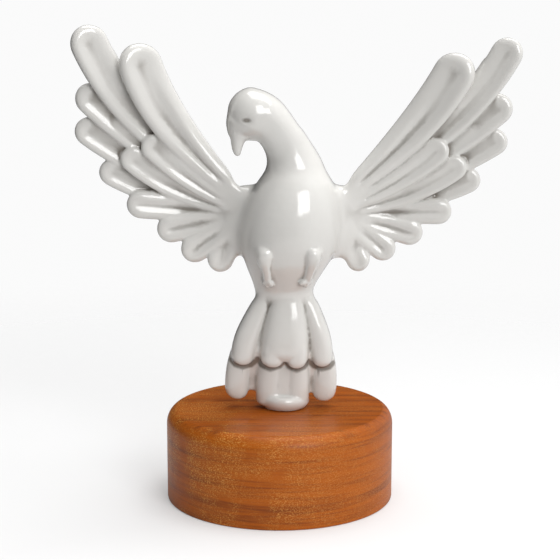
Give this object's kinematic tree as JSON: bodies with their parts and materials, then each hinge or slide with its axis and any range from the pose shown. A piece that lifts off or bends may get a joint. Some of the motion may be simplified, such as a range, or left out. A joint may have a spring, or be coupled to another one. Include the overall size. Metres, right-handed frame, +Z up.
{
  "type": "dove statue",
  "caption": "White glazed porcelain dove with wings raised in a V, bowed head and fanned tail, standing on a round turned base of stained wood.",
  "frame": {"origin": "centre of the flat underside of the round wooden base", "axes": "+Z up, -Y the front that the breast faces, +X to the right of someone looking at the breast"},
  "size_m": [0.1897, 0.1, 0.2076],
  "materials": {
    "dove": "gloss",
    "plinth": "satin"
  },
  "bodies": {
    "root": {"dove": "dove", "plinth": "plinth"}
  },
  "joints": []
}
